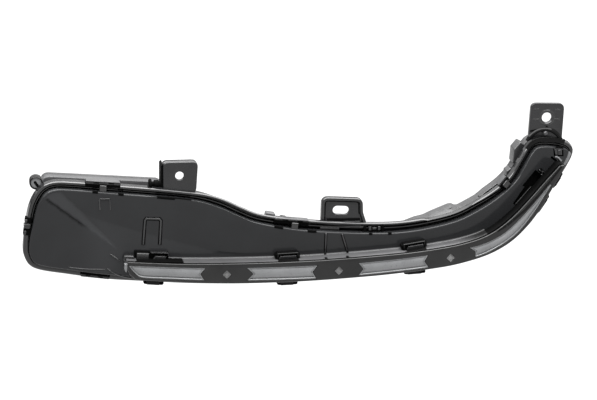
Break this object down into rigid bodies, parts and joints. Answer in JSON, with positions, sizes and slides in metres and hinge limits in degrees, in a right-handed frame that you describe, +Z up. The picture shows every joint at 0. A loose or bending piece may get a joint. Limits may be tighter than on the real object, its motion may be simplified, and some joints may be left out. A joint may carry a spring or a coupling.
{
  "type": "daytime running light",
  "caption": "Curved daytime running lamp with a gloss black front cover, a lower light strip of V-ended bars and diamond markers, and three screw tabs.",
  "frame": {"origin": "centre of the left tab's screw hole, on the tab's front face", "axes": "+X to the right as seen from the front, along the lamp; +Y to the rear; +Z up; the lamp shines towards -Y"},
  "size_m": [0.4388, 0.0851, 0.1282],
  "materials": {
    "housing_plastic": "grained black plastic",
    "sealant": "black sealing bead",
    "gloss_cover": "gloss black",
    "clear_lens": "clear plastic",
    "bezel_plastic": "satin black",
    "diffuser": "satin grey diffuser",
    "marker": "textured grey",
    "white_plastic": "white reflector plastic",
    "white_board": "white solder mask",
    "led_package": "LED packages",
    "screw_steel": "zinc-plated steel",
    "flat_lead": "flat ribbon lead",
    "green_board": "green circuit board",
    "component_plastic": "moulded components",
    "seal_rubber": "black rubber",
    "socket_plastic": "black connector plastic",
    "contact_metal": "plated brass",
    "membrane": "white breathable membrane"
  },
  "bodies": {
    "root": {"rear_housing": "housing_plastic", "sealing_bead": "sealant", "front_cover": "gloss_cover", "window_lens": "clear_lens", "strip_bezel": "bezel_plastic", "light_bar_1": "diffuser", "light_bar_2": "diffuser", "light_bar_3": "diffuser", "light_bar_4": "diffuser", "marker_1": "marker", "marker_2": "marker", "marker_3": "marker", "light_guide": "clear_lens", "led_carrier": "white_plastic", "led_board_1": "white_board", "led_board_2": "white_board", "led_board_3": "white_board", "leds": "led_package", "carrier_screws": "screw_steel", "board_lead": "flat_lead", "driver_board": "green_board", "driver_parts": "component_plastic", "board_screws": "screw_steel", "rear_lid": "housing_plastic", "lid_gasket": "seal_rubber", "lid_screws": "screw_steel", "connector_socket": "socket_plastic", "contact_pins": "contact_metal", "vent_spigot_cap": "seal_rubber", "vent_membrane": "membrane"}
  },
  "joints": []
}
